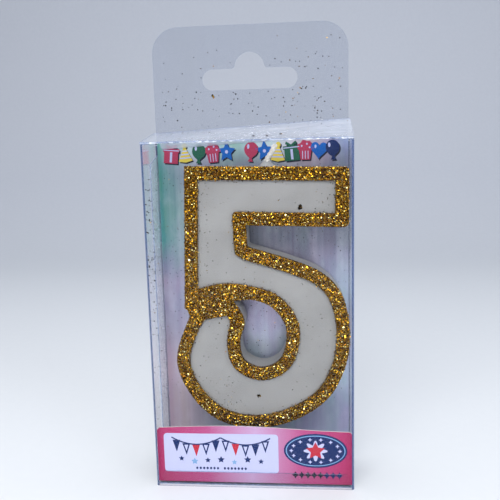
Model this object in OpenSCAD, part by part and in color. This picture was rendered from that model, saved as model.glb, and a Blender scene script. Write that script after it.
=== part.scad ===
// Number birthday candle in its clear hang-tab pack.
//
// A numeral five is cast in white wax, with a raised glitter rim on its front
// face, a cotton wick in the top bar and a plastic pick under the bowl. It
// stands on a printed insert card inside a folded clear-film box.
//
// +Z is up and the front of the pack faces -Y. The origin is at the middle of
// the pack's base. Each closure of the box is a lid with a tuck flap on its
// free edge and a dust flap at each side.

/* [Pack] */
// Outer width of the film box
pack_w = 62; // [62:0.5:70]
// Outer depth of the film box
pack_d = 20; // [20:0.5:26]
// Height of the box, to the top of its front wall
pack_h = 107; // [107:0.5:120]
// Thickness of the clear film
film_t = 0.3; // [0.2:0.05:0.3]
// Width of the glue flap inside the left wall
seam_w = 10; // [6:0.5:14]

/* [Hang tab] */
// Height of the tab above the box
tab_h = 35.8; // [34:0.1:45]
// How far each side of the tab stands in from the box
tab_inset = 0.4; // [0:0.1:3]
// Radius of the tab's upper corners
tab_corner_r = 8; // [2:0.5:12]
// Overall width of the hanger slot
slot_w = 30; // [26:0.5:36]
// Height of the slot's straight bar
slot_h = 6.5; // [6:0.25:8]
// Middle of the slot's bar above the box
slot_z = 19.5; // [15:0.5:20]
// Radius of the hump over the bar
hump_r = 4.7; // [4:0.1:6]
// Radius of the fillets at the foot of the hump
hump_fillet_r = 1.2; // [0.5:0.1:2]

/* [Flaps] */
// How far the top lid stands open
lid_ajar = 10; // [0:1:40]
// Tuck fold angle gained per degree of lid
tuck_ratio = 0.25; // [0:0.05:0.25]
// Dust flap angle gained per degree of lid
dust_ratio = 0.5; // [0:0.1:0.5]
// Depth of the top lid, crease to crease
top_lid_d = 18.1; // [16:0.1:18.1]
// Length of the top tuck flap
top_tuck_l = 5; // [3:0.5:5]
// Depth of the bottom lid, crease to crease
bottom_lid_d = 18.5; // [16:0.1:18.5]
// Length of the bottom tuck flap
bottom_tuck_l = 4; // [3:0.5:4]
// Length of each dust flap
dust_l = 13; // [8:0.5:16]

/* [Insert card] */
// Thickness of the printed card
card_t = 0.35; // [0.25:0.05:0.4]
// How far the card's back panel rises above the box's front wall
card_rise = 0.5; // [0:0.1:1]
// Mean height of the front lip's top edge
lip_h = 18.7; // [15:0.1:24]
// Swell of the lip's wavy top edge
lip_wave = 0.75; // [0:0.05:1.5]

/* [Candle] */
// Width of the numeral
numeral_w = 54; // [46:0.5:54]
// Height of the numeral
numeral_h = 83; // [70:0.5:83]
// Thickness of the wax
wax_t = 9; // [7:0.5:9]
// Width of the glitter rim
rim_w = 4; // [3:0.1:4.5]
// Height of the glitter rim above the wax face
rim_raise = 1.2; // [0.6:0.1:1.5]
// Sideways place of the numeral's middle in the pack
candle_x = 3; // [0:0.1:3]
// Lowest point of the numeral above the pack's base
candle_z = 17; // [14:0.5:17]
// Front of the wax face, behind the pack's middle
wax_front_y = -3.2; // [-4:0.1:-2]

/* [Wick] */
// Diameter of the waxed cotton wick
wick_d = 1.8; // [1.4:0.1:2.2]
// Depth of wick held inside the top bar
wick_hold = 14; // [8:0.5:15]
// Length of wick above the wax
wick_free = 7; // [4:0.1:7]
// Lean of the free wick towards the right
wick_lean = 32; // [0:1:45]
// Diameter of the drip of wax round the wick's foot
wick_foot_d = 3.2; // [2.4:0.1:4]

/* [Cake pick] */
// Diameter of the peg pressed into the wax
peg_d = 3; // [2:0.1:4]
// Depth of the peg's socket
peg_l = 12; // [8:0.5:15]
// Width of the pick's blade
blade_w = 5; // [4:0.25:7]
// Thickness of the blade and its rib
blade_t = 1.4; // [1.2:0.1:2]
// Depth of the stiffening rib, front to back
rib_d = 3.4; // [2:0.1:5]

/* [Hidden] */
$fn = 64;

// Running gap between films that fold past each other
gap = 0.05;
// Half sizes of the box, outside and inside the film
half_w = pack_w / 2;
half_d = pack_d / 2;
in_w = half_w - film_t;
in_d = half_d - film_t;

// Level of the crease that the top lid turns on, and of the dust flaps below it
top_lid_z = pack_h + gap;
top_dust_z = pack_h - film_t - 2 * gap;
// Level of the bottom dust flaps, and of the card floor resting over them
bottom_dust_z = film_t + gap;
floor_z = bottom_dust_z + film_t + 2 * gap;
floor_top = floor_z + card_t;
// Front face of the lip, which leaves the bottom tuck room in front of it
lip_y = in_d - bottom_lid_d + film_t + 2 * gap;
// Mitre on each dust flap's creased side, and its clearance at the tuck
mitre = 0.6;
tuck_room = 2.4;
// Taper at each end of a tuck flap, and its clearance at the side walls
tuck_taper = 1.5;
tuck_side = 0.5;

// Numeral coordinates run from its middle and its foot; these scale them
nominal_w = 54;
nominal_h = 83;
curve_steps = 6;
corner_r = 1.5;

// Middle of the wax, front to back, and the places of the wick and pick
wax_mid_y = wax_front_y + wax_t / 2;
wick_x = candle_x + 2.3;
wick_z = candle_z + numeral_h - 0.6;
peg_x = candle_x - 2;

// Corners of the numeral that are not on a curve
bar_left = [-22.2, 83];
bar_right = [27, 81.8];
arm_end = [26.8, 64];
arm_root = [-4, 64.9];
stem_foot = [-3.8, 58.5];
notch = [-23, 38.6];
stem_left = [-23.8, 39.2];

// Control points of the bowl, clockwise from the stem to the tip of the tail
bowl = [[-3, 58], [8, 54.6], [18.5, 50.2], [24.6, 43.4], [27, 33], [26, 21.5], [20.5, 10.4],
        [10, 3], [-3, 0], [-15, 3], [-23.4, 11.6], [-27, 23], [-22.4, 36.6]];

// Control points of the counter, clockwise from its pointed tip
counter_tip = [-8.5, 41.4];
counter = [counter_tip, [-3, 41.9], [3.6, 39.2], [7.7, 32.5], [6, 23.4], [0.2, 20],
           [-5.6, 22.4], [-6.8, 28.5], [-5.3, 35], counter_tip];

// Edges of the wide glitter band between the stem and the bowl's tail: its upper
// edge from left to right, and its lower edge, round the tail's end, from right to left
band_top = [[-21.2, 45], [-17.7, 45.7], [-14, 46.6], [-10, 46.9], [-6, 46.6], [-2.5, 45.8]];
band_foot = [[-10.4, 31.4], [-9.8, 34.9], [-11.2, 37.1], [-13.7, 37.9], [-16, 37], [-18.4, 34.6],
             [-20.4, 31.4], [-22, 28]];
// Radius of the rim's inner edge where it wraps round a corner
inner_r = 1.2;

// Point at parameter t on the smooth curve from b to c, with a and d beside them
function curve_point(a, b, c, d, t) =
    0.5 * (2 * b + (c - a) * t + (2 * a - 5 * b + 4 * c - d) * t * t
           + (3 * b - a - 3 * c + d) * t * t * t);

// Smooth curve through a list of control points
function curve(points) =
    let (last = len(points) - 1)
    [for (i = [0 : last - 1], j = [0 : curve_steps - 1])
        curve_point(points[max(i - 1, 0)], points[i], points[i + 1],
                    points[min(i + 2, last)], j / curve_steps)];

// Quarter turn of radius r about a centre, clockwise from angle a
function quarter(centre, r, a) =
    [for (step = [0 : 4]) centre + r * [cos(a - step * 22.5), sin(a - step * 22.5)]];

function numeral_scaled(points) =
    [for (p = points) [p[0] * numeral_w / nominal_w, p[1] * numeral_h / nominal_h]];

// Height of the lip's wavy top edge at x
function lip_top(x) = lip_h + lip_wave * cos((x + 8) * 4.2);

// ---- Shared shapes ----

// Stands a flat outline, drawn in x and z, upright with its front face at y
module upright(y, t) {
    translate([0, y + t, 0])
        rotate([90, 0, 0])
            linear_extrude(height = t)
                children();
}

// Flat sheet of film or card between two corners
module sheet(low, high) {
    translate(low)
        cube(high - low);
}

module numeral_outline() {
    polygon(numeral_scaled(concat(
        [bar_left],
        quarter(bar_right - [corner_r, corner_r], corner_r, 90),
        quarter(arm_end + [-corner_r, corner_r], corner_r, 0),
        [arm_root, stem_foot],
        curve(bowl),
        [bowl[len(bowl) - 1], notch, stem_left])));
}

module counter_outline() {
    polygon(numeral_scaled(curve(counter)));
}

module numeral_face() {
    difference() {
        numeral_outline();
        counter_outline();
    }
}

// Hairline where the tail of the bowl closes against the foot of the stem
module tail_line() {
    hair = 0.02;
    polygon(numeral_scaled([notch - [1, 0], counter_tip, counter_tip + [1, -hair],
                            notch - [1, hair]]));
}

module tail_band() {
    polygon(numeral_scaled(concat(
        curve(band_top),
        [band_top[len(band_top) - 1], [-5, 42], [-6.5, 33]],
        curve(band_foot),
        [band_foot[len(band_foot) - 1], [-24, 30], [-24, 44]])));
}

// Wax face left bare inside the rim
module bare_face() {
    difference() {
        offset(r = -inner_r, $fn = 24)
            offset(delta = inner_r - rim_w)
                difference() {
                    numeral_face();
                    tail_line();
                }
        tail_band();
    }
}

module in_candle() {
    translate([candle_x, 0, candle_z])
        children();
}

// ---- Candle ----

module wax_body() {
    color("ivory")
        difference() {
            union() {
                in_candle()
                    upright(wax_front_y, wax_t)
                        numeral_face();
                translate([wick_x, wax_mid_y, wick_z - 1])
                    cylinder(h = 2, d1 = wick_foot_d + 1, d2 = wick_foot_d);
            }
            translate([wick_x, wax_mid_y, wick_z - wick_hold])
                cylinder(h = wick_hold + 5, d = wick_d);
            translate([peg_x, wax_mid_y, candle_z - 1])
                cylinder(h = peg_l + 1, d = peg_d);
        }
}

module glitter_rim() {
    color("goldenrod")
        in_candle()
            upright(wax_front_y - rim_raise, rim_raise)
                difference() {
                    numeral_face();
                    bare_face();
                }
}

module wick() {
    color("whitesmoke")
        translate([wick_x, wax_mid_y, wick_z]) {
            straight = 2.1;
            knuckle_d = wick_d + 0.3;
            translate([0, 0, -wick_hold])
                cylinder(h = wick_hold + straight, d = wick_d);
            translate([0, 0, straight]) {
                sphere(d = knuckle_d);
                rotate([0, wick_lean, 0])
                    cylinder(h = wick_free - straight, d = wick_d);
            }
        }
}

// Half outline of the blade or rib, pointed at its lower end
module pick_taper(width) {
    shoulder_z = candle_z - 1.1;
    half = width / 2;
    tip = 0.4;
    polygon([[-half, shoulder_z], [half, shoulder_z], [0.85 * half, floor_top + 5],
             [tip, floor_top], [-tip, floor_top], [-0.85 * half, floor_top + 5]]);
}

module cake_pick() {
    collar_t = 1;
    color("white")
        union() {
            translate([peg_x, wax_mid_y, candle_z - 0.2])
                cylinder(h = peg_l + 0.2, d = peg_d);
            translate([peg_x, wax_mid_y, candle_z - 0.1 - collar_t])
                cylinder(h = collar_t, d = 2 * peg_d);
            translate([peg_x, 0, 0])
                upright(wax_mid_y - blade_t / 2, blade_t)
                    pick_taper(blade_w);
            translate([peg_x, wax_mid_y, 0])
                rotate([0, 0, 90])
                    upright(-blade_t / 2, blade_t)
                        pick_taper(rib_d);
        }
}

// ---- Insert card ----

module card_back() {
    color("lightsteelblue")
        sheet([-in_w + film_t + gap, in_d - card_t, floor_z],
              [in_w - 2 * gap, in_d, pack_h + card_rise]);
}

module card_floor() {
    color("mediumorchid")
        sheet([-in_w + 4 * gap, lip_y + card_t, floor_z],
              [in_w - 4 * gap, in_d - card_t, floor_top]);
}

module card_lip() {
    side = in_w - 2 * gap;
    nip = 0.8;
    wave_steps = 24;
    span = side - nip;
    color("hotpink")
        upright(lip_y, card_t)
            polygon(concat(
                [[-side, floor_z], [-side, lip_top(-side) - nip]],
                [for (i = [0 : wave_steps])
                    let (x = span * (2 * i / wave_steps - 1))
                    [x, lip_top(x)]],
                [[side, lip_top(side) - nip], [side, floor_z]]));
}

// ---- Film box ----

module front_panel() {
    color("azure", 0.3)
        sheet([-half_w, -half_d, 0], [half_w, -in_d, pack_h]);
}

// Side wall, on the right for side = 1 and on the left for side = -1
module side_panel(side) {
    x = side > 0 ? in_w : -half_w;
    sheet([x, -in_d, 0], [x + film_t, in_d, top_dust_z - gap]);
}

module left_panel() {
    color("azure", 0.3)
        side_panel(-1);
}

module right_panel() {
    color("azure", 0.3)
        side_panel(1);
}

module back_panel() {
    color("azure", 0.3)
        sheet([-half_w, in_d, 0], [half_w, half_d, pack_h + film_t]);
}

// Glue flap inside the left wall, with its ends cut on a slant
module glue_seam() {
    slant = 3;
    low = floor_top + 2;
    high = top_dust_z - 3;
    color("lightcyan", 0.4)
        translate([-in_w, 0, 0])
            rotate([90, 0, 90])
                linear_extrude(height = film_t)
                    polygon([[in_d, low], [in_d, high], [in_d - seam_w, high - slant],
                             [in_d - seam_w, low + slant]]);
}

// Slot that fits a display peg: a bar with round ends and a hump over it
module hanger_slot() {
    end_r = slot_h / 2;
    hump_z = end_r + 0.2;
    fillet_z = end_r + hump_fillet_r;
    reach = hump_r + hump_fillet_r;
    fillet_x = sqrt(reach * reach - (fillet_z - hump_z) * (fillet_z - hump_z));
    translate([-slot_w / 2 + end_r, -end_r])
        square([slot_w - slot_h, slot_h]);
    for (side = [-1, 1])
        translate([side * (slot_w / 2 - end_r), 0])
            circle(r = end_r);
    translate([0, hump_z])
        circle(r = hump_r);
    difference() {
        translate([-fillet_x, end_r - gap])
            square([2 * fillet_x, hump_fillet_r + gap]);
        for (side = [-1, 1])
            translate([side * fillet_x, fillet_z])
                circle(r = hump_fillet_r);
    }
}

module hang_tab() {
    low = pack_h + film_t;
    half = half_w - tab_inset;
    square_h = pack_h + tab_h - low;
    color("azure", 0.3)
        upright(in_d, film_t)
            difference() {
                translate([0, low])
                    union() {
                        translate([-half, 0])
                            square([2 * half, square_h - tab_corner_r]);
                        translate([-half + tab_corner_r, 0])
                            square([2 * (half - tab_corner_r), square_h]);
                        for (side = [-1, 1])
                            translate([side * (half - tab_corner_r), square_h - tab_corner_r])
                                circle(r = tab_corner_r);
                    }
                translate([0, pack_h + slot_z])
                    hanger_slot();
            }
}

// ---- Closures ----

// Lid lying flat, running back from its crease on the x axis
module lid_plate(half, depth) {
    sheet([-half, 2 * gap, 0], [half, depth, film_t]);
}

// Tuck flap hanging from its crease on the x axis, with tapered ends
module tuck_plate(half, length) {
    translate([0, -film_t, 0])
        upright(0, film_t)
            polygon([[-half, -gap], [half, -gap], [half - tuck_taper, -length],
                     [-half + tuck_taper, -length]]);
}

// Dust flap lying flat, running in from its crease on the y axis, which starts
// at the lid's crease; both sides are cut back so that it clears the lid's folds
module dust_plate(crease_l) {
    linear_extrude(height = film_t)
        polygon([[gap, film_t + gap], [gap, crease_l - tuck_room],
                 [dust_l - 2, crease_l - tuck_room - 1], [dust_l, crease_l - tuck_room - 3],
                 [dust_l, film_t + gap + dust_l * mitre]]);
}

// Carries a closed top flap to where the ajar lid holds it
module on_top_crease() {
    translate([0, -half_d, top_lid_z])
        rotate([lid_ajar, 0, 0])
            children();
}

module top_lid() {
    color("azure", 0.4)
        on_top_crease()
            lid_plate(half_w - gap, top_lid_d);
}

module top_tuck() {
    color("azure", 0.4)
        on_top_crease()
            translate([0, top_lid_d, 0])
                rotate([lid_ajar * tuck_ratio, 0, 0])
                    tuck_plate(in_w - tuck_side, top_tuck_l);
}

// Top dust flap in its crease, as for the left side
module top_dust() {
    translate([-half_w, -half_d, top_dust_z])
        rotate([0, -lid_ajar * dust_ratio, 0])
            dust_plate(top_lid_d);
}

module top_dust_left() {
    color("azure", 0.4)
        top_dust();
}

module top_dust_right() {
    color("azure", 0.4)
        mirror([1, 0, 0])
            top_dust();
}

// Carries a shape drawn for the front crease to the bottom's rear crease
module on_bottom_crease() {
    translate([0, in_d, 0])
        mirror([0, 1, 0])
            children();
}

module bottom_lid() {
    color("azure", 0.4)
        on_bottom_crease()
            lid_plate(in_w - 3 * gap, bottom_lid_d);
}

module bottom_tuck() {
    color("azure", 0.4)
        on_bottom_crease()
            translate([0, bottom_lid_d, film_t])
                mirror([0, 0, 1])
                    tuck_plate(in_w - tuck_side, bottom_tuck_l);
}

// Bottom dust flap in its crease, as for the left side
module bottom_dust() {
    translate([-in_w + gap, 0, bottom_dust_z])
        on_bottom_crease()
            dust_plate(bottom_lid_d);
}

module bottom_dust_left() {
    color("azure", 0.4)
        bottom_dust();
}

module bottom_dust_right() {
    color("azure", 0.4)
        mirror([1, 0, 0])
            bottom_dust();
}

wax_body();
glitter_rim();
wick();
cake_pick();
card_back();
card_floor();
card_lip();
front_panel();
left_panel();
right_panel();
back_panel();
hang_tab();
glue_seam();
top_lid();
top_tuck();
top_dust_left();
top_dust_right();
bottom_lid();
bottom_tuck();
bottom_dust_left();
bottom_dust_right();
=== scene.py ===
"""Number birthday candle in its clear hang-tab pack.

The candle is a white wax numeral with a gold glitter rim, a braided wick and a
plastic pick. It stands on a folded, printed card inside a clear film box. Every
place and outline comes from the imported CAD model. Lengths are in metres.
"""
import math

import bmesh
import bpy
import numpy as np
from mathutils import Euler, Matrix, Vector


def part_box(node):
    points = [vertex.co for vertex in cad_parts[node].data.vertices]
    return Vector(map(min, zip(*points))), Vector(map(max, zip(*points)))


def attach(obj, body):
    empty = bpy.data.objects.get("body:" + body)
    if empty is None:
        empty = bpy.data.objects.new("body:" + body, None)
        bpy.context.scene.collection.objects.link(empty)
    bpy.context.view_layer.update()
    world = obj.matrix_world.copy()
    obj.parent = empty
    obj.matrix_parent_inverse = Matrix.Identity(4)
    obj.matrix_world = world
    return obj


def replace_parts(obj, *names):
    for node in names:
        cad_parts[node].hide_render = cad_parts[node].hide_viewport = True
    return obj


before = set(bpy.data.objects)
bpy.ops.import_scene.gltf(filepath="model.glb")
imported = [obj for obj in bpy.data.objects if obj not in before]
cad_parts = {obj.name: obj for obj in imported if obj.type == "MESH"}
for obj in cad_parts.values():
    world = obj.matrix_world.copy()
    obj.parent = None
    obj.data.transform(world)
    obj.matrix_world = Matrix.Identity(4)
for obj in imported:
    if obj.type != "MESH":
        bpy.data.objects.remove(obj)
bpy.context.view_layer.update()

MM = 0.001
SEED = 5
TURN = 2 * math.pi
collection = bpy.context.scene.collection


# ---- the camera

def make_camera():
    """A close hand-held view, from a little right of and above the pack's middle."""
    data = bpy.data.cameras.new("camera")
    data.lens = 44.57
    data.sensor_width = 36
    data.clip_start = 0.005
    camera = bpy.data.objects.new("camera", data)
    collection.objects.link(camera)
    place = (0.0175, -0.1893, 0.1031)
    tilt, roll, turn = (math.radians(angle) for angle in (81.215, 1.464, 5.160))
    camera.matrix_world = Matrix.LocRotScale(place, Euler((tilt, roll, turn)), None)
    bpy.context.scene.camera = camera


make_camera()


# ---- measures

def box_mm(node):
    """A CAD node's lowest and highest corners, in millimetres."""
    low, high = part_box(node)
    return np.array(low) / MM, np.array(high) / MM


FRONT_LOW, FRONT_HIGH = box_mm("front_panel")
BACK_HIGH = box_mm("back_panel")[1]
SIDE_HIGH = box_mm("right_panel")[1]
TAB_LOW, TAB_HIGH = box_mm("hang_tab")
CARD_LOW, CARD_HIGH = box_mm("card_back")
LIP_LOW, LIP_HIGH = box_mm("card_lip")
WAX_HIGH = box_mm("wax_body")[1]
RIM_LOW, RIM_HIGH = box_mm("glitter_rim")
WICK_LOW, WICK_HIGH = box_mm("wick")

FILM = FRONT_HIGH[1] - FRONT_LOW[1]
HALF_W = FRONT_HIGH[0]
HALF_D = BACK_HIGH[1]
PACK_H = FRONT_HIGH[2]
WAX_FRONT = RIM_HIGH[1]
RIM_FRONT = RIM_LOW[1]


# ---- mesh help

def make_object(name, verts_mm, faces, materials, body, smooth=True, indices=None):
    """Builds a mesh piece from points in millimetres and lets it ride on a body."""
    mesh = bpy.data.meshes.new(name)
    mesh.from_pydata([tuple(v) for v in np.asarray(verts_mm) * MM], [], faces)
    mesh.validate()
    return place_mesh(mesh, name, materials, body, smooth, indices)


def place_mesh(mesh, name, materials, body, smooth=True, indices=None):
    """Makes an object of a mesh, with its materials, body and finish slot."""
    for material in materials:
        mesh.materials.append(material)
    if indices is not None:
        mesh.polygons.foreach_set("material_index", np.asarray(indices, np.int32))
    mesh.polygons.foreach_set("use_smooth", [smooth] * len(mesh.polygons))
    piece = bpy.data.objects.new(name, mesh)
    collection.objects.link(piece)
    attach(piece, body)
    return piece


def smooth_by_angle(piece, degrees=35):
    """Shades gentle edges smooth and keeps the sharp ones."""
    bm = bmesh.new()
    bm.from_mesh(piece.data)
    limit = math.radians(degrees)
    for edge in bm.edges:
        edge.smooth = len(edge.link_faces) == 2 and edge.calc_face_angle(0) < limit
    bm.to_mesh(piece.data)
    bm.free()


def strip_faces(count):
    """Quads between two rows of count points."""
    return [(j, j + 1, j + count + 1, j + count) for j in range(count - 1)]


def ring_faces(rings, sides):
    """Quads between closed rings of points."""
    faces = []
    for i in range(rings - 1):
        for k in range(sides):
            a, b = i * sides + k, i * sides + (k + 1) % sides
            faces.append((a, b, b + sides, a + sides))
    return faces


def end_caps(rings, sides):
    """Flat faces over the first and the last ring."""
    return [tuple(range(sides))[::-1], tuple((rings - 1) * sides + k for k in range(sides))]


def stood_up(spots, y):
    """Points given in x and z, placed at depth y."""
    return np.stack([spots[:, 0], np.broadcast_to(y, len(spots)), spots[:, 1]], 1)


def polar(angles, radius_x, radius_z):
    """Points round the origin, with a radius across and a radius upwards."""
    return np.stack([radius_x * np.cos(angles), radius_z * np.sin(angles)], 1)


def face_loops(node, axis, level):
    """Outlines, largest first, of a CAD node's flat face at a level across an axis, in millimetres."""
    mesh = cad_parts[node].data
    across = [k for k in range(3) if k != axis]
    uses = {}
    for polygon in mesh.polygons:
        corners = [mesh.vertices[i].co / MM for i in polygon.vertices]
        if any(abs(c[axis] - level) > 1e-3 for c in corners):
            continue
        keys = [tuple(round(c[k], 3) for k in across) for c in corners]
        for a, b in zip(keys, keys[1:] + keys[:1]):
            uses[frozenset((a, b))] = uses.get(frozenset((a, b)), 0) + 1
    neighbours = {}
    for edge, count in uses.items():
        if count == 1 and len(edge) == 2:
            a, b = edge
            neighbours.setdefault(a, []).append(b)
            neighbours.setdefault(b, []).append(a)
    loops = []
    while neighbours:
        start = next(iter(neighbours))
        loop = [start]
        here = start
        while neighbours.get(here):
            step = neighbours[here].pop()
            neighbours[step].remove(here)
            if not neighbours[here]:
                del neighbours[here]
            here = step
            if here == start:
                break
            loop.append(here)
        if not neighbours.get(start):
            neighbours.pop(start, None)
        loops.append(np.array(loop))
    return sorted(loops, key=lambda loop: -abs(loop_area(loop)))


def loop_area(loop):
    x, z = loop[:, 0], loop[:, 1]
    return 0.5 * float(np.sum(x * np.roll(z, -1) - np.roll(x, -1) * z))


def rounded_plate(loops, low_y, high_y, edge_r):
    """Mesh of an upright plate with the given outlines and rounded edges."""
    curve = bpy.data.curves.new("plate", "CURVE")
    curve.dimensions = "2D"
    curve.fill_mode = "BOTH"
    curve.bevel_depth = edge_r * MM
    curve.bevel_resolution = 4
    curve.offset = -edge_r * MM
    curve.extrude = ((high_y - low_y) / 2 - edge_r) * MM
    for loop in loops:
        spline = curve.splines.new("POLY")
        spline.points.add(len(loop) - 1)
        for point, (x, z) in zip(spline.points, loop):
            point.co = (x * MM, z * MM, 0, 1)
        spline.use_cyclic_u = True
    maker = bpy.data.objects.new("plate", curve)
    collection.objects.link(maker)
    bpy.context.view_layer.update()
    shown = maker.evaluated_get(bpy.context.evaluated_depsgraph_get())
    mesh = bpy.data.meshes.new_from_object(shown)
    bpy.data.objects.remove(maker)
    upright = Matrix.Translation((0, (low_y + high_y) / 2 * MM, 0)) @ Matrix.Rotation(math.pi / 2, 4, "X")
    mesh.transform(upright)
    bm = bmesh.new()
    bm.from_mesh(mesh)
    bmesh.ops.remove_doubles(bm, verts=bm.verts, dist=1e-6)
    bmesh.ops.recalc_face_normals(bm, faces=bm.faces)
    bm.to_mesh(mesh)
    bm.free()
    mesh.materials.clear()
    return mesh


def inside(points, loops):
    """True for each point that is inside an odd number of the outlines."""
    odd = np.zeros(len(points), bool)
    for loop in loops:
        x1, z1 = loop[:, 0], loop[:, 1]
        x2, z2 = np.roll(x1, -1), np.roll(z1, -1)
        for a, b, c, d in zip(x1, z1, x2, z2):
            if b == d:
                continue
            crosses = (b > points[:, 1]) != (d > points[:, 1])
            odd ^= crosses & (points[:, 0] < (c - a) * (points[:, 1] - b) / (d - b) + a)
    return odd


def edge_distance(points, loops):
    """Distance from each point to the nearest outline."""
    best = np.full(len(points), 1e9)
    for loop in loops:
        for a, b in zip(loop, np.roll(loop, -1, axis=0)):
            along = b - a
            length = max(float(along @ along), 1e-12)
            t = np.clip(((points - a) @ along) / length, 0, 1)
            gap = points - a - t[:, None] * along
            best = np.minimum(best, np.hypot(gap[:, 0], gap[:, 1]))
    return best


# ---- node help

class Nodes:
    """Short names for building a material's node tree."""

    def __init__(self, name):
        self.material = bpy.data.materials.new(name)
        self.material.use_nodes = True
        self.tree = self.material.node_tree
        self.tree.nodes.clear()
        self.output = self.add("ShaderNodeOutputMaterial")

    def add(self, kind, inputs=None, **settings):
        node = self.tree.nodes.new(kind)
        for key, value in settings.items():
            setattr(node, key, value)
        for key, value in (inputs or {}).items():
            self.link(value, node.inputs[key])
        return node

    def link(self, value, socket):
        """Sets a socket to a constant, or joins another node's output to it."""
        if isinstance(value, bpy.types.NodeSocket):
            self.tree.links.new(value, socket)
        else:
            socket.default_value = value

    def finish(self, shader):
        self.tree.links.new(shader, self.output.inputs["Surface"])
        return self.material

    def place(self):
        """Object-space position."""
        return self.add("ShaderNodeTexCoord").outputs["Object"]

    def split(self, vector):
        return self.add("ShaderNodeSeparateXYZ", {"Vector": vector}).outputs

    def noise(self, scale, detail=3.0, vector=None, stretch=None, roughness=0.5):
        vector = vector or self.place()
        if stretch:
            vector = self.add("ShaderNodeMapping", {"Vector": vector, "Scale": stretch}).outputs[0]
        inputs = {"Vector": vector, "Scale": scale, "Detail": detail, "Roughness": roughness}
        return self.add("ShaderNodeTexNoise", inputs).outputs["Fac"]

    def ramp(self, factor, stops, mode="LINEAR"):
        node = self.add("ShaderNodeValToRGB", {"Fac": factor})
        ramp = node.color_ramp
        ramp.interpolation = mode
        while len(ramp.elements) < len(stops):
            ramp.elements.new(0.5)
        for element, (position, colour) in zip(ramp.elements, stops):
            element.position = position
            element.color = colour if len(colour) == 4 else (*colour, 1)
        return node.outputs["Color"]

    def spread(self, value, low, high, to_low=0.0, to_high=1.0):
        """Value mapped from one range to another and clamped."""
        inputs = {"Value": value, "From Min": low, "From Max": high, "To Min": to_low, "To Max": to_high}
        return self.add("ShaderNodeMapRange", inputs).outputs["Result"]

    def math(self, operation, a, b=0.0):
        return self.add("ShaderNodeMath", {0: a, 1: b}, operation=operation).outputs[0]

    def mix(self, factor, a, b, blend="MIX"):
        node = self.add("ShaderNodeMix", data_type="RGBA", blend_type=blend)
        for number, value in ((0, factor), (6, a), (7, b)):
            self.link(value, node.inputs[number])
        return node.outputs[2]

    def blend_shaders(self, factor, a, b):
        return self.add("ShaderNodeMixShader", {0: factor, 1: a, 2: b}).outputs[0]

    def bump(self, height, strength, distance_mm, normal=None):
        inputs = {"Height": height, "Strength": strength, "Distance": distance_mm * MM}
        if normal:
            inputs["Normal"] = normal
        return self.add("ShaderNodeBump", inputs).outputs["Normal"]

    def sheen_by_angle(self, straight, normal):
        """Share of light mirrored: a little straight on, and all of it at a glancing angle."""
        facing = self.add("ShaderNodeLayerWeight", {"Blend": 0.5, "Normal": normal}).outputs["Facing"]
        rise = self.math("POWER", facing, 5.0)
        return self.math("ADD", straight, self.math("MULTIPLY", rise, 1.0 - straight))

    def principled(self, **inputs):
        named = {key.replace("_", " "): value for key, value in inputs.items()}
        return self.add("ShaderNodeBsdfPrincipled", named).outputs["BSDF"]

    def solid(self, **inputs):
        """Finishes the material as one principled surface."""
        return self.finish(self.principled(**inputs))

    def see_through(self, tint):
        return self.add("ShaderNodeBsdfTransparent", {"Color": (*tint, 1)}).outputs[0]

    def sway(self, value, noise, amount):
        """A value pushed up and down by a noise."""
        shift = self.math("MULTIPLY", self.math("SUBTRACT", noise, 0.5), amount)
        return self.math("ADD", value, shift)

    def printed_side(self):
        """1 on faces that look forward, where card is printed, and 0 on the others."""
        facing = self.split(self.add("ShaderNodeNewGeometry").outputs["Normal"])[1]
        return self.math("LESS_THAN", facing, -0.5)

    def on_board(self, printed, colour, roughness):
        """Colour and roughness of the print in front and of bare board elsewhere."""
        board = self.ramp(self.noise(1500, 4), [(0.3, (0.74, 0.73, 0.71)), (0.7, (0.84, 0.83, 0.81))])
        return self.mix(printed, board, colour), self.mix(printed, grey(0.8), grey(roughness))


def grey(value):
    return (value, value, value, 1)


# ---- materials

def wax_material():
    """White paraffin wax: soft, slightly mottled, with a few cloudy patches."""
    n = Nodes("white_wax")
    clouds = n.noise(90, 4)
    colour = n.ramp(clouds, [(0.30, (0.275, 0.27, 0.26)), (0.70, (0.335, 0.33, 0.32))])
    skin = n.noise(900, 3)
    dents = n.noise(220, 2)
    normal = n.bump(skin, 0.25, 0.05, n.bump(dents, 0.35, 0.12))
    rough = n.spread(clouds, 0.3, 0.7, 0.38, 0.52)
    return n.solid(
        Base_Color=colour, Roughness=rough, Normal=normal, Subsurface_Weight=0.35,
        Subsurface_Radius=(1.0, 0.8, 0.6), Subsurface_Scale=2 * MM, Coat_Weight=0.08,
        Coat_Roughness=0.3)


def glitter_material(name, stops, roughness):
    """Metallic flakes, each with a colour of its own."""
    n = Nodes(name)
    flake = n.add("ShaderNodeNewGeometry").outputs["Random Per Island"]
    colour = n.ramp(flake, stops, "CONSTANT")
    scuff = n.noise(2500, 2)
    rough = n.spread(scuff, 0.3, 0.7, roughness, roughness + 0.14)
    return n.solid(Base_Color=colour, Metallic=1.0, Roughness=rough)


def glitter_binder_material():
    """The glue and flakes that lie under the top flakes."""
    n = Nodes("glitter_binder")
    cells = n.add("ShaderNodeTexVoronoi", {"Vector": n.place(), "Scale": 2600.0})
    shade = n.split(cells.outputs["Color"])[0]
    colour = n.ramp(shade, [(0.0, (0.05, 0.019, 0.001)), (0.35, (0.11, 0.045, 0.002)),
                            (0.75, (0.26, 0.14, 0.01)), (1.0, (0.42, 0.25, 0.03))])
    normal = n.bump(shade, 0.9, 0.12)
    rough = n.spread(shade, 0, 1, 0.45, 0.25)
    return n.solid(Base_Color=colour, Metallic=0.85, Roughness=rough, Normal=normal)


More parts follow.
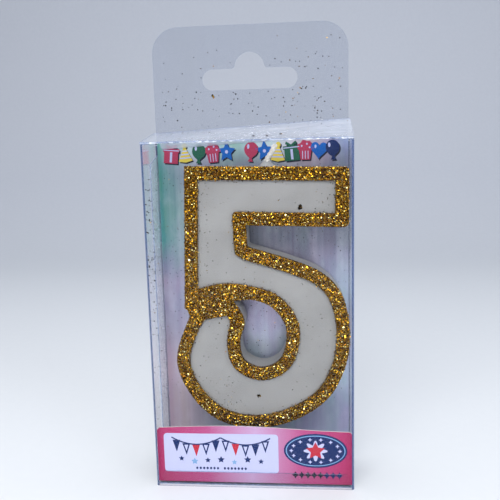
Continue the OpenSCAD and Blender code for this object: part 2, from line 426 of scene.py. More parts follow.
def film_material(name, haze, tint, body_colour, streak=(1.0, 1.0, 0.22), glow=0.35, shine=0.006,
                  painted_fold_blue=False):
    """Clear plastic film: see-through, glossy, with faint cloudy scuffs and streaks."""
    n = Nodes(name)
    streaks = n.noise(75, 5, stretch=streak, roughness=0.62)
    cloud = n.spread(streaks, 0.38, 0.72, *haze)
    ripple = n.bump(n.noise(70, 2), 0.22, 0.22)
    clear = n.see_through(tint)
    front = n.principled(Base_Color=(*body_colour, 1), Roughness=0.35, Normal=ripple)
    through = n.add("ShaderNodeBsdfTranslucent", {"Color": (*body_colour, 1)}).outputs[0]
    body = n.blend_shaders(cloud, clear, n.blend_shaders(glow, front, through))
    # Painted light: at the folds the film is painted dark blue, its own tint deepened as light trapped in the
    # film where it is seen edge-on.
    if painted_fold_blue:
        fold = n.add("ShaderNodeAttribute", attribute_name="fold").outputs["Fac"]
        dark = n.principled(Base_Color=(0.045, 0.09, 0.24, 1), Roughness=0.2)
        body = n.blend_shaders(n.math("MULTIPLY", fold, 0.75), body, dark)
    smears = n.noise(200, 4, roughness=0.6)
    rough = n.spread(smears, 0.4, 0.7, 0.03, 0.11)
    gloss = n.add("ShaderNodeBsdfGlossy", {"Color": grey(1), "Roughness": rough, "Normal": ripple}).outputs[0]
    mirror = n.sheen_by_angle(shine, ripple)
    return n.finish(n.blend_shaders(mirror, body, gloss))


def film_edge_material():
    """Cut or folded edge of the film, where light is trapped and it looks blue."""
    n = Nodes("film_edge")
    painted_light_noise = n.noise(800, 3)
    colour = n.ramp(painted_light_noise, [(0.3, (0.10, 0.16, 0.34)), (0.7, (0.42, 0.50, 0.68))])
    clear = n.see_through((0.80, 0.86, 0.97))
    solid = n.principled(Base_Color=colour, Roughness=0.15)
    return n.finish(n.blend_shaders(n.spread(painted_light_noise, 0.3, 0.7, 0.35, 0.65), clear, solid))


def crease_material():
    """Wrinkled film where a panel is folded, painted pale white for the highlights that glint along the fold.
    """
    n = Nodes("film_crease")
    painted_light_noise = n.noise(420, 4, stretch=(1.0, 0.2, 0.2))
    # Painted highlight: the pale white patches stand in for glints of light along the fold.
    colour = n.ramp(painted_light_noise, [(0.35, (0.55, 0.62, 0.74)), (0.65, (0.95, 0.97, 1.0))])
    clear = n.see_through((0.92, 0.95, 1.0))
    solid = n.principled(Base_Color=colour, Roughness=0.12, Normal=n.bump(painted_light_noise, 0.6, 0.15))
    return n.finish(n.blend_shaders(n.spread(painted_light_noise, 0.42, 0.66, 0.12, 0.85), clear, solid))


TEAL = (0.07, 0.35, 0.29)
MINT = (0.34, 0.60, 0.54)
PALE_FOIL = (0.66, 0.76, 0.80)
BLUE = (0.26, 0.36, 0.62)
LILAC = (0.36, 0.33, 0.46)
SHADED_SLATE = (0.19, 0.20, 0.26)
ROSE = (0.56, 0.40, 0.46)
SKY = (0.38, 0.45, 0.58)

DEEP_PINK = (0.42, 0.015, 0.11)
ROSE_PINK = (0.48, 0.07, 0.22)
PALE_PINK = (0.58, 0.36, 0.58)


def even_bands(*colours):
    """Ramp stops for colours spread evenly from the left edge to the right."""
    return [(k / (len(colours) - 1), colour) for k, colour in enumerate(colours)]


def foil_rows(n, across, height):
    """Four rows of upright bands, which melt into each other from the card's foot to its top."""
    colour = n.ramp(across, even_bands(ROSE, SKY, SKY, SKY))
    middle = n.ramp(across, even_bands(LILAC, LILAC, LILAC, SKY))
    # The upper row's slate is partly the foil's colour and partly painted shade, darkening the card where it
    # shows under the candle's arm.
    upper = n.ramp(across, even_bands(TEAL, LILAC, SHADED_SLATE, SHADED_SLATE, SHADED_SLATE, SHADED_SLATE))
    top = n.ramp(across, even_bands(TEAL, PALE_FOIL, MINT, PALE_FOIL, ROSE, BLUE))
    for row, low, high in ((middle, 0.030, 0.050), (upper, 0.060, 0.074), (top, 0.096, 0.104)):
        colour = n.mix(n.spread(height, low, high), colour, row)
    return colour


def foil_card_material():
    """Holographic foil on board: upright rainbow bands that drift in hue down the card."""
    n = Nodes("holographic_foil")
    x, _, z = n.split(n.place())[:3]
    drift = n.noise(28, 2, stretch=(1.0, 1.0, 0.5))
    across = n.sway(n.spread(x, -HALF_W * MM, HALF_W * MM), drift, 0.05)
    colour = foil_rows(n, across, n.sway(z, drift, 0.02))
    bands = n.noise(1, 3, stretch=(420, 1, 5), roughness=0.6)
    colour = n.mix(n.spread(bands, 0.40, 0.7, 0.0, 0.16), colour, (0.80, 0.86, 0.95, 1))
    patches = n.spread(n.noise(1, 3, stretch=(150, 1, 80), roughness=0.65), 0.48, 0.75, 0.0, 0.22)
    colour = n.mix(patches, colour, (0.85, 0.88, 0.95, 1))
    hue = n.spread(n.noise(1, 3, stretch=(110, 1, 38), roughness=0.6), 0.32, 0.68, 0.43, 0.57)
    colour = n.add("ShaderNodeHueSaturation", {"Color": colour, "Hue": hue, "Saturation": 1.0}).outputs[0]
    printed = n.printed_side()
    colour, rough = n.on_board(printed, colour, 0.30)
    metal = n.math("MULTIPLY", printed, 0.6)
    buckle = n.bump(n.noise(40, 2), 0.25, 0.25)
    return n.solid(Base_Color=colour, Roughness=rough, Metallic=metal, Normal=buckle)


def lip_material():
    """Pink printed card, deep at both ends and pale in the middle."""
    n = Nodes("pink_print")
    x = n.split(n.place())[0]
    across = n.sway(n.spread(x, LIP_LOW[0] * MM, LIP_HIGH[0] * MM), n.noise(45, 3), 0.10)
    colour = n.ramp(across, even_bands(DEEP_PINK, ROSE_PINK, PALE_PINK, ROSE_PINK, DEEP_PINK))
    grain = n.noise(1800, 3)
    colour = n.mix(n.spread(grain, 0.3, 0.7, 0.0, 0.03), colour, (0.95, 0.85, 0.92, 1))
    colour, rough = n.on_board(n.printed_side(), colour, 0.42)
    return n.solid(Base_Color=colour, Roughness=rough, Specular_IOR_Level=0.25,
                   Normal=n.bump(grain, 0.1, 0.03))


def ink_material(name, colour, roughness=0.35):
    """Printed ink, with the slight unevenness of print on card."""
    n = Nodes(name + "_ink")
    grain = n.noise(2200, 3)
    pale = tuple(0.95 * c + 0.008 for c in colour)
    shade = n.ramp(grain, [(0.35, colour), (0.75, pale)])
    rough = n.spread(grain, 0.3, 0.7, roughness, roughness + 0.12)
    return n.solid(Base_Color=shade, Roughness=rough, Specular_IOR_Level=0.2, Normal=n.bump(grain, 0.1, 0.02))


def cotton_material():
    """Waxed cotton yarn."""
    n = Nodes("waxed_cotton")
    fibre = n.noise(1500, 4, stretch=(1.0, 1.0, 0.25))
    colour = n.ramp(fibre, [(0.3, (0.62, 0.58, 0.50)), (0.7, (0.90, 0.87, 0.80))])
    return n.solid(
        Base_Color=colour, Roughness=0.6, Normal=n.bump(fibre, 0.8, 0.08), Subsurface_Weight=0.2,
        Subsurface_Radius=(1.0, 0.9, 0.8), Subsurface_Scale=0.5 * MM)


def pick_material():
    """White moulded plastic with faint flow marks."""
    n = Nodes("white_moulding")
    flow = n.noise(300, 3, stretch=(1.0, 1.0, 0.3))
    colour = n.ramp(flow, [(0.3, (0.78, 0.78, 0.77)), (0.7, (0.86, 0.86, 0.85))])
    rough = n.spread(flow, 0.3, 0.7, 0.26, 0.40)
    return n.solid(Base_Color=colour, Roughness=rough, Normal=n.bump(flow, 0.15, 0.05))


def stage_material():
    """Plain pale studio floor, with painted shade that darkens it a little towards the backdrop."""
    n = Nodes("pale_stage")
    grain = n.noise(300, 3)
    # Painted shade: the colour darkens with depth towards the backdrop, standing in for the light's falloff.
    back = n.spread(n.split(n.place())[1], -0.02, 0.62)
    colour = n.ramp(back, [(0.0, (0.70, 0.72, 0.75)), (0.6, (0.54, 0.565, 0.61)),
                           (1.0, (0.475, 0.50, 0.565))])
    colour = n.mix(n.spread(grain, 0.3, 0.7, 0.0, 0.04), colour, (0.9, 0.9, 0.9, 1))
    return n.solid(Base_Color=colour, Roughness=0.75)


CLEAR = (0.985, 0.988, 0.995)
LONG_STREAK = (0.2, 1.0, 1.0)
film_clear = film_material("clear_film", (0.0, 0.004), CLEAR, (0.80, 0.86, 0.97), painted_fold_blue=True)
film_tab = film_material("tab_film", (0.05, 0.10), (0.90, 0.91, 0.925), (0.45, 0.49, 0.62))
film_flap = film_material("flap_film", (0.16, 0.55), CLEAR, (0.86, 0.90, 0.98), LONG_STREAK,
                         glow=0.6, shine=0.02)
film_base = film_material("base_film", (0.0, 0.01), CLEAR, (0.80, 0.86, 0.97))
film_edge = film_edge_material()
film_crease = crease_material()
wax = wax_material()
GOLDS = [
    (0.00, (0.028, 0.009, 0.001)), (0.30, (0.10, 0.038, 0.002)), (0.54, (0.26, 0.106, 0.004)),
    (0.74, (0.50, 0.245, 0.010)), (0.87, (0.93, 0.57, 0.045)), (0.95, (1.0, 0.88, 0.38)),
]
BRONZES = [
    (0.00, (0.012, 0.009, 0.008)), (0.62, (0.04, 0.024, 0.010)), (0.84, (0.20, 0.11, 0.02)),
    (0.94, (0.75, 0.47, 0.08)),
]
gold_flake = glitter_material("gold_flake", GOLDS, 0.16)
loose_flake = glitter_material("loose_flake", BRONZES, 0.30)
binder = glitter_binder_material()
foil = foil_card_material()
pink = lip_material()
cotton = cotton_material()
moulding = pick_material()


# ---- the candle

ROLL = 0.5  # radius of the rim's rolled edge
WAX_EDGE = 0.45
FLAKES_FACE = (0, -1, 0.13)  # they lean up a little, towards the light
outline, counter = face_loops("wax_body", 1, WAX_HIGH[1])[:2]
rim_loops = face_loops("glitter_rim", 1, RIM_FRONT)


def make_plate(name, loops, low_y, high_y, edge_r, material, node):
    """A rounded plate that takes a CAD node's place on the candle."""
    mesh = rounded_plate(loops, low_y, high_y, edge_r)
    piece = place_mesh(mesh, name, [material], "candle")
    smooth_by_angle(piece)
    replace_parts(piece, node)


def flake_mesh(name, centres, normals, radii, material, depth=0.55, body="candle"):
    """Many small flakes: each is a flat polygon with a shallow point behind it."""
    count, sides = len(centres), 6
    random = np.random.default_rng(SEED + count)
    normals = normals / np.linalg.norm(normals, axis=1, keepdims=True)
    helper = np.where(np.abs(normals[:, 2:3]) < 0.9, [[0, 0, 1.0]], [[1.0, 0, 0]])
    right = np.cross(helper, normals)
    right /= np.linalg.norm(right, axis=1, keepdims=True)
    up = np.cross(normals, right)
    start = random.uniform(0, TURN, count)
    stretch = random.uniform(0.75, 1.15, count)
    corners = []
    for k in range(sides):
        angle = start + TURN * k / sides
        corner = centres + radii[:, None] * (np.cos(angle)[:, None] * right
                                             + (stretch * np.sin(angle))[:, None] * up)
        corners.append(corner)
    apex = centres - normals * (radii * depth)[:, None]
    verts = np.stack(corners + [apex], axis=1).reshape(-1, 3)
    size = sides + 1
    faces = []
    for i in range(count):
        base = i * size
        faces.append(tuple(base + k for k in range(sides)))
        for k in range(sides):
            faces.append((base + (k + 1) % sides, base + k, base + sides))
    return make_object(name, verts, faces, [material], body, smooth=False)


def tilted(normals, spread, random):
    """Normals each turned a random way by about spread radians."""
    return normals + random.normal(0, spread, normals.shape)


def top_flakes(random, count):
    """Places and facing of flakes on the flat top of the rim."""
    spots = random.uniform(RIM_LOW[[0, 2]], RIM_HIGH[[0, 2]], (count, 2))
    spots = spots[inside(spots, rim_loops)]
    spots = spots[edge_distance(spots, rim_loops) > ROLL * 0.8]
    y = RIM_FRONT - random.uniform(0.0, 0.14, len(spots))
    return stood_up(spots, y), np.tile(FLAKES_FACE, (len(spots), 1))


def edge_spots(random, loop, per_mm):
    """Random places along an outline and the flat direction that leads off the rim there."""
    ahead = np.roll(loop, -1, axis=0) - loop
    length = np.hypot(ahead[:, 0], ahead[:, 1])
    count = int(length.sum() * per_mm)
    picks = random.choice(len(loop), count, p=length / length.sum())
    spots = loop[picks] + ahead[picks] * random.uniform(0, 1, (count, 1))
    side = np.stack([ahead[picks][:, 1], -ahead[picks][:, 0]], 1) / length[picks][:, None]
    side[inside(spots + side * 0.05, rim_loops)] *= -1
    return spots, side


def edge_flakes(random, loop, per_mm):
    """Flakes round the rolled edge of the rim."""
    spots, side = edge_spots(random, loop, per_mm)
    angle = random.uniform(0.0, math.pi / 2 + 0.15, len(spots))
    lift = ROLL + random.uniform(-0.04, 0.12, len(spots))
    flat = spots - side * (ROLL - lift * np.sin(angle))[:, None]
    outward = stood_up(side * np.sin(angle)[:, None], -np.cos(angle) - 0.45)
    return stood_up(flat, RIM_FRONT + ROLL - lift * np.cos(angle)), outward


def spilt_flakes(random, loop, per_mm):
    """Flakes stuck to the wax just beside the rim, thinning out away from it."""
    spots, side = edge_spots(random, loop, per_mm)
    spots = spots + side * random.exponential(0.20, (len(spots), 1))
    spots = spots[inside(spots, [outline, counter]) & ~inside(spots, rim_loops)]
    y = WAX_FRONT - random.uniform(0.02, 0.30, len(spots))
    return stood_up(spots, y), np.tile([0.0, -1.0, 0.0], (len(spots), 1))


def make_flakes():
    """Glitter on the rim's flat top, on its rolled edges and just beside it."""
    random = np.random.default_rng(SEED)
    top_count, per_mm = ((62000, 15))
    smallest = 0.13
    layers = [("glitter_top", 0.27, [top_flakes(random, top_count)]),
              ("glitter_edge", 0.21, [edge_flakes(random, loop, per_mm) for loop in rim_loops]),
              ("glitter_spill", 0.21, [spilt_flakes(random, loop, 0.8) for loop in rim_loops])]
    for name, largest, groups in layers:
        centres = np.concatenate([centre for centre, facing in groups])
        facing = np.concatenate([facing for centre, facing in groups])
        radii = random.uniform(smallest, largest, len(centres))
        flake_mesh(name, centres, tilted(facing, 0.40, random), radii, gold_flake)


def tube(path, radius, sides=8):
    """Points and faces of a closed tube along a path; radius may vary along it."""
    path = np.asarray(path, float)
    ahead = np.gradient(path, axis=0)
    ahead /= np.linalg.norm(ahead, axis=1, keepdims=True)
    right = np.cross(ahead, (0, 1, 0))
    right /= np.linalg.norm(right, axis=1, keepdims=True)
    up = np.cross(right, ahead)
    angles = (TURN * np.arange(sides) / sides)[:, None]
    around = np.cos(angles) * right[:, None] + np.sin(angles) * up[:, None]
    verts = path[:, None] + np.broadcast_to(radius, len(path))[:, None, None] * around
    return verts.reshape(-1, 3), ring_faces(len(path), sides) + end_caps(len(path), sides)


def join_parts(parts):
    """One list of points and faces from several."""
    verts, faces = [], []
    for part_verts, part_faces in parts:
        start = len(verts)
        verts.extend(part_verts)
        faces.extend(tuple(start + i for i in face) for face in part_faces)
    return verts, faces


def wick_path(count):
    """Middle line of the wick, from inside the wax, up, and over to its leaning tip."""
    wick_d = WICK_HIGH[1] - WICK_LOW[1]
    middle_y = (WICK_LOW[1] + WICK_HIGH[1]) / 2
    root_x = WICK_LOW[0] + wick_d / 2
    points = np.array([[root_x, middle_y, WICK_LOW[2] + 0.3],
                       [root_x, middle_y, WICK_HIGH[2] - 7.0],
                       [root_x + 0.25, middle_y, WICK_HIGH[2] - 4.6],
                       [root_x + 1.7, middle_y - 0.2, WICK_HIGH[2] - 2.4],
                       [WICK_HIGH[0] - 0.75, middle_y - 0.1, WICK_HIGH[2] - 0.45]])
    along = np.linspace(0, len(points) - 1, count)
    index = np.minimum(along.astype(int), len(points) - 2)
    t = (along - index)[:, None]
    a, b = points[index], points[index + 1]
    before = points[np.maximum(index - 1, 0)]
    after = points[np.minimum(index + 2, len(points) - 1)]
    return 0.5 * (2 * a + (b - before) * t + (2 * before - 5 * a + 4 * b - after) * t ** 2
                  + (3 * a - before - 3 * b + after) * t ** 3)


def make_wick():
    """Three waxed yarns twisted together, with a few loose fibres at the tip."""
    random = np.random.default_rng(SEED + 1)
    steps = 90
    path = wick_path(steps)
    run = np.concatenate([[0], np.cumsum(np.linalg.norm(np.diff(path, axis=0), axis=1))])
    pitch, lay, yarn = 3.4, 0.42, 0.46
    parts = []
    for strand in range(3):
        angle = TURN * (run / pitch + strand / 3)
        offset = np.stack([np.cos(angle), np.sin(angle), np.zeros(steps)], 1) * lay
        thick = yarn * (1 + 0.06 * np.sin(run * 5 + strand))
        thick[-1] *= 0.6
        parts.append(tube(path + offset, thick, 10))
    tip = path[-1]
    way = path[-1] - path[-3]
    way /= np.linalg.norm(way)
    for _ in range(14):
        bend = random.normal(0, 0.35, 3)
        root = tip + random.normal(0, 0.25, 3) - way * 0.5
        reach = random.uniform(0.5, 0.85)
        fibre = [root + (way + bend * t) * reach * t for t in np.linspace(0, 1, 5)]
        parts.append(tube(fibre, 0.05, 5))
    verts, faces = join_parts(parts)
    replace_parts(make_object("wick_yarns", verts, faces, [cotton], "candle"), "wick")


def make_wick_foot():
    """The drip of wax that has set round the wick's foot."""
    root = wick_path(2)[0]
    neck_r, spread_r, rise = 0.85, 2.1, 2.5
    foot = WAX_HIGH[2] - 1.75
    rings, sides = 9, 24
    verts = []
    for i in range(rings):
        t = i / (rings - 1)
        r = spread_r * (1 - t) ** 1.7 + neck_r + 0.25 * math.sin(math.pi * t)
        height = foot + rise * t ** 0.85
        for k in range(sides):
            angle = TURN * k / sides
            wobble = 1 + 0.10 * math.sin(2 * angle + 0.6) + 0.05 * math.sin(3 * angle + 4 * t)
            verts.append((root[0] + r * wobble * math.cos(angle),
                          root[1] + r * wobble * 0.9 * math.sin(angle), height))
    verts.append((root[0], root[1], foot))
    verts.append((root[0], root[1], foot + rise + 0.1))
    faces = ring_faces(rings, sides)
    low, high = rings * sides, rings * sides + 1
    for k in range(sides):
        faces.append(((k + 1) % sides, k, low))
        faces.append(((rings - 1) * sides + k, (rings - 1) * sides + (k + 1) % sides, high))
    make_object("wick_foot_wax", verts, faces, [wax], "candle")


def finish_pick():
    """The CAD pick keeps its shape and gets softly rounded moulded edges."""
    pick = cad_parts["cake_pick"]
    pick.data.materials.clear()
    pick.data.materials.append(moulding)
    bevel = pick.modifiers.new("soft_edges", "BEVEL")
    bevel.width = 0.15 * MM
    bevel.segments = 2
    bevel.limit_method = "ANGLE"


make_plate("wax_numeral", [outline, counter], WAX_FRONT, WAX_HIGH[1], WAX_EDGE, wax, "wax_body")
make_plate("glitter_bead", rim_loops, RIM_FRONT, WAX_FRONT + 1.0, ROLL - 0.2, binder,
           "glitter_rim")
make_flakes()
make_wick()
make_wick_foot()
finish_pick()


# ---- the card

def cut_in_steps(bm, step, axes):
    """Cuts a mesh with evenly spaced planes so that it can be curved."""
    for axis in axes:
        normal = Vector((0, 0, 0))
        normal[axis] = 1
        places = [vert.co[axis] for vert in bm.verts]
        for level in np.arange(min(places) + step, max(places) - step / 2, step):
            everything = bm.verts[:] + bm.edges[:] + bm.faces[:]
            bmesh.ops.bisect_plane(bm, geom=everything, plane_co=normal * level, plane_no=normal,
                                   dist=1e-7)


def card_sheet(name, node, body, materials, move, step=2.0):
    """A CAD sheet cut into a fine grid and then curved a little by move()."""
    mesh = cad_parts[node].data.copy()
    mesh.materials.clear()
    bm = bmesh.new()
    bm.from_mesh(mesh)
    bmesh.ops.remove_doubles(bm, verts=bm.verts, dist=1e-7)
    bmesh.ops.dissolve_limit(bm, angle_limit=0.01, verts=bm.verts, edges=bm.edges)
    cut_in_steps(bm, step * MM, (0, 1, 2))
    for vert in bm.verts:
        vert.co = Vector(move(*(np.array(vert.co) / MM))) * MM
    bm.to_mesh(mesh)
    bm.free()
    mesh.name = name
    piece = place_mesh(mesh, name, materials, body)
    smooth_by_angle(piece)
    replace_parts(piece, node)
    return piece


def swell(x, z, x0, x1, z0, z1):
    """1 in the middle of a panel, falling to 0 at its edges."""
    u = max(0.0, min(1.0, (x - x0) / (x1 - x0)))
    v = max(0.0, min(1.0, (z - z0) / (z1 - z0)))
    return math.sin(math.pi * u) * math.sin(math.pi * v)


CARD_BOW = 2.3  # how far the card's middle stands forward


def bow_card(x, y, z):
    lift = CARD_BOW * swell(x, z, CARD_LOW[0], CARD_HIGH[0], CARD_LOW[2], CARD_HIGH[2])
    ripple = 0.05 * math.sin(x * 0.21 + 1) * math.sin(z * 0.13)
    return x, y - lift - abs(ripple), z


def bow_lip(x, y, z):
    rise = (z - LIP_LOW[2]) / (LIP_HIGH[2] - LIP_LOW[2])
    return x, y + 0.18 * rise * (0.5 + 0.5 * math.cos(x * 0.16)), z


def still(x, y, z):
    return x, y, z


card_sheet("foil_card", "card_back", "pack", [foil], bow_card)
card_sheet("card_fold_floor", "card_floor", "pack", [pink], still)
card_sheet("pink_lip", "card_lip", "pack", [pink], bow_lip, step=1.5)


# ---- print

def star(points=5, inner=0.5, start=90.0):
    angles = np.radians(start + np.arange(2 * points) * 180 / points)
    radii = np.where(np.arange(2 * points) % 2 == 0, 0.54, 0.54 * inner)
    return polar(angles, radii, radii)


def ellipse(half_x=0.5, half_z=0.5, count=40):
    return polar(np.arange(count) * TURN / count, half_x, half_z)


def balloon():
    """A balloon with its knot, clockwise from the knot."""
    body = polar(np.radians(np.linspace(-60, 240, 26)), 0.40, 0.38) + (0, 0.12)
    knot = np.array([[-0.06, -0.32], [-0.15, -0.5], [0.15, -0.5], [0.06, -0.32]])
    return np.concatenate([body, knot])


def heart():
    t = np.arange(36) * TURN / 36
    x = 16 * np.sin(t) ** 3
    z = 13 * np.cos(t) - 5 * np.cos(2 * t) - 2 * np.cos(3 * t) - np.cos(4 * t)
    return np.stack([-x / 33, z / 33 + 0.06], 1)


def flower(petals=6):
    t = np.arange(60) * TURN / 60
    r = 0.38 + 0.11 * np.cos(petals * t)
    return polar(t, r, r)


def pennant():
    return np.array([[-0.46, 0.48], [0.0, -0.5], [0.46, 0.48]])


def parcel():
    """A gift box with a bow on its lid."""
    return np.array([[-0.42, -0.5], [0.42, -0.5], [0.42, 0.08], [0.48, 0.08], [0.48, 0.26],
                     [0.10, 0.26], [0.34, 0.36], [0.28, 0.5], [0.0, 0.32], [-0.28, 0.5],
                     [-0.34, 0.36], [-0.10, 0.26], [-0.48, 0.26], [-0.48, 0.08], [-0.42, 0.08]])


def round_rectangle(half_x, half_z, r):
    parts = []
    for sx, sz, first in ((1, 1, 0), (-1, 1, 90), (-1, -1, 180), (1, -1, 270)):
        angles = np.radians(first + np.arange(7) * 15)
        corner = np.array([sx * (half_x - r), sz * (half_z - r)])
        parts.append(corner + polar(angles, r, r))
    return np.concatenate(parts)


def ribbon(points, width):
    """Outline of a line of even width along points."""
    points = np.asarray(points, float)
    ahead = np.gradient(points, axis=0)
    ahead /= np.hypot(ahead[:, 0], ahead[:, 1])[:, None]
    side = np.stack([-ahead[:, 1], ahead[:, 0]], 1) * width / 2
    return np.concatenate([points + side, (points - side)[::-1]])


def print_layer(name, shapes, surface, body, inks, step=2.0):
    """Thin raised print of shapes, each (outline, layer, ink number), on the card's face at surface(x, z)."""
    skin = 0.03
    bm = bmesh.new()
    for shape, layer, ink in shapes:
        shape = shape if loop_area(shape) > 0 else shape[::-1]
        front = [bm.verts.new((x, -skin * layer, z)) for x, z in shape]
        back = [bm.verts.new((x, 0.02, z)) for x, z in shape]
        faces = [bm.faces.new(front), bm.faces.new(back[::-1])]
        for k in range(len(shape)):
            j = (k + 1) % len(shape)
            faces.append(bm.faces.new((front[j], front[k], back[k], back[j])))
        for face in faces:
            face.material_index = ink
    cut_in_steps(bm, step, (0, 2))
    for vert in bm.verts:
        vert.co.y += surface(vert.co.x, vert.co.z)
        vert.co *= MM
    mesh = bpy.data.meshes.new(name)
    bm.to_mesh(mesh)
    bm.free()
    for material in inks:
        mesh.materials.append(material)
    return place_mesh(mesh, name, [], body, smooth=False)


def card_face(x, z):
    return bow_card(x, CARD_LOW[1], z)[1]


def lip_face(x, z):
    return bow_lip(x, LIP_LOW[1], z)[1]


crimson = ink_material("crimson", (0.50, 0.045, 0.11))
yellow = ink_material("yellow", (0.84, 0.66, 0.10))
green = ink_material("green", (0.018, 0.13, 0.075))
blue = ink_material("blue", (0.006, 0.13, 0.50))
navy = ink_material("navy", (0.006, 0.024, 0.12))
red = ink_material("red", (0.54, 0.026, 0.05))
white = ink_material("white", (0.57, 0.59, 0.85))
shadow = ink_material("shadow", (0.012, 0.016, 0.035))
pale_blue = ink_material("pale_blue", (0.22, 0.40, 0.66))


def party_hat():
    bobble = polar(np.radians(np.linspace(-60, 240, 14)), 0.14, 0.14) + (0, 0.36)
    return np.concatenate([bobble, [[-0.42, -0.42], [0.0, -0.5], [0.42, -0.42]]])


def cupcake():
    angles = np.radians(np.linspace(0, 180, 25))
    puff = 0.46 + 0.035 * np.cos(angles * 7)
    icing = polar(angles, puff, 1.02 * puff) + (0, 0.02)
    return np.concatenate([icing, [[-0.36, 0.0], [-0.27, -0.5], [0.27, -0.5], [0.36, 0.0]]])


def bar(x, z, half_x, half_z):
    return np.array([(-1, -1), (1, -1), (1, 1), (-1, 1)]) * (half_x, half_z) + (x, z)


def motif(kind):
    """A motif's outline and the pale details printed over it."""
    if kind == "parcel":
        return parcel(), [bar(0, -0.18, 0.07, 0.26), bar(0, 0.17, 0.46, 0.025)]
    if kind == "hat":
        return party_hat(), [bar(0, -0.26, 0.33, 0.035), bar(0, -0.08, 0.24, 0.035), bar(0, 0.09, 0.15, 0.03)]
    if kind == "balloon":
        return balloon(), [ellipse(0.07, 0.12, 16) + (-0.18, 0.26)]
    if kind == "cupcake":
        folds = [bar(x, -0.25, 0.022, 0.2) for x in (-0.16, 0.0, 0.16)]
        sprinkles = [ellipse(0.05, 0.05, 12) + spot for spot in ((-0.2, 0.2), (0.1, 0.3), (0.25, 0.12))]
        return cupcake(), folds + sprinkles
    if kind == "heart":
        return heart(), [ellipse(0.06, 0.09, 14) + (-0.22, 0.2)]
    return star(), [ellipse(0.09, 0.09, 16)]


def make_header():
    """Two groups of party motifs along the top of the card, each with a dark shadow."""
    inks = {"crimson": crimson, "yellow": yellow, "green": green, "blue": blue, "navy": navy,
            "shadow": shadow, "white": white}
    number = {name: k for k, name in enumerate(inks)}
    first = [("parcel", "crimson"), ("hat", "yellow"), ("balloon", "green"), ("cupcake", "crimson"),
             ("star", "blue")]
    second = [("balloon", "crimson"), ("star", "blue"), ("hat", "yellow"), ("parcel", "green"),
              ("cupcake", "crimson"), ("heart", "blue"), ("balloon", "navy")]
    size = np.array([5.45, 6.2])
    middle_z = 103.9
    drop = np.array([0.38, -0.45])
    shapes = []
    for start_x, pitch, group in ((-25.9, 4.5, first), (-0.1, 4.3, second)):
        for k, (kind, ink) in enumerate(group):
            tilt = math.radians((-5, 4, -3, 5, 0)[k % 5])
            spin = np.array([[math.cos(tilt), math.sin(tilt)], [-math.sin(tilt), math.cos(tilt)]])
            place = np.array([start_x + k * pitch, middle_z + 0.2 * math.sin(k * 2.1)])
            shape, details = motif(kind)
            printed = shape * size @ spin + place
            shapes.append((printed + drop, 1, number["shadow"]))
            shapes.append((printed, 2, number[ink]))
            shapes.extend((detail * size @ spin + place, 3, number["white"]) for detail in details)
    print_layer("header_print", shapes, card_face, "pack", list(inks.values()))


PANEL_X = -10.4
WHITE, NAVY, RED, PALE_BLUE, BLACK = range(5)
LIP_INKS = [white, navy, red, pale_blue, shadow]


def swag_point(swag, t):
    """A point on one of two hanging strings of bunting, t of the way along it."""
    span, sag, top = 15.6, 2.3, 15.6
    return np.array([PANEL_X + (swag - 1 + t) * span, top - sag * 4 * t * (1 - t)])


def bunting():
    """Two strings of pennants, one of them red on each string and every other one hollow."""
    shapes = []
    for swag in range(2):
        line = [swag_point(swag, t) for t in np.linspace(0, 1, 15)]
        shapes.append((ribbon(line, 0.42), 2, NAVY))
        for k in range(5):
            top = swag_point(swag, (k + 0.5) / 5) - (0, 0.1)
            ink = RED if (k + swag) % 5 == 2 else NAVY
            shapes.append((pennant() * (2.7, 4.0) + top + (0, -1.9), 2, ink))
            if (k + swag) % 2:
                shapes.append((pennant() * (1.35, 2.1) + top + (0, -1.45), 3, WHITE))
    return shapes


def stars_and_dots():
    """A row of stars and a row of dots with a gap in its middle, under the bunting."""
    shapes = []
    for k in range(7):
        place = (PANEL_X - 12.6 + 4.2 * k, 8.0 + 0.5 * math.cos(k * 2.4))
        ink = PALE_BLUE if k % 3 == 1 else NAVY
        shapes.append((star() * (1.7 + 0.5 * (k % 2)) + place, 2, ink))
    for k in range(15):
        if k != 7:
            shapes.append((ellipse(0.36, 0.42, 12) + (PANEL_X - 7.7 + 1.1 * k, 5.4), 2, NAVY))
    return shapes


def badge():
    """An oval badge with a flower and a star, ringed by small stars, over a row of diamonds."""
    middle = np.array([19.2, 11.8])
    ovals = ((9.8, 5.6, NAVY), (9.2, 5.05, PALE_BLUE), (8.9, 4.75, NAVY))
    shapes = [(ellipse(wide, high, 64) + middle, layer, ink)
              for layer, (wide, high, ink) in enumerate(ovals, 1)]
    for spot in ellipse(7.5, 3.75, 14):
        shapes.append((star(4, 0.42) * 1.25 + middle + spot, 4, WHITE))
    shapes.append((flower(8) * (7.6, 7.0) + middle, 4, WHITE))
    shapes.append((star() * (5.6, 5.4) + middle, 5, RED))
    for k in range(8):
        shapes.append((star(4) * (2.1, 2.3) + (12.9 + 1.95 * k, 3.7), 1, BLACK if k < 5 else NAVY))
    return shapes


def make_lip_print():
    """White panel with bunting, and a navy badge."""
    shapes = [(round_rectangle(18.1, 6.45, 1.1) + (PANEL_X, 10.45), 1, WHITE)]
    shapes += bunting() + stars_and_dots() + badge()
    print_layer("lip_print", shapes, lip_face, "pack", LIP_INKS)


make_header()
make_lip_print()


# ---- the film box

def film_wave(x, z, amount):
    """Slow unevenness of a sheet of film."""
    return amount * (0.5 * math.sin(x * 0.11 + z * 0.045 + 0.4) + 0.3 * math.sin(z * 0.16 - x * 0.05)
                     + 0.2 * math.sin(x * 0.31 + 2.0 + z * 0.02))


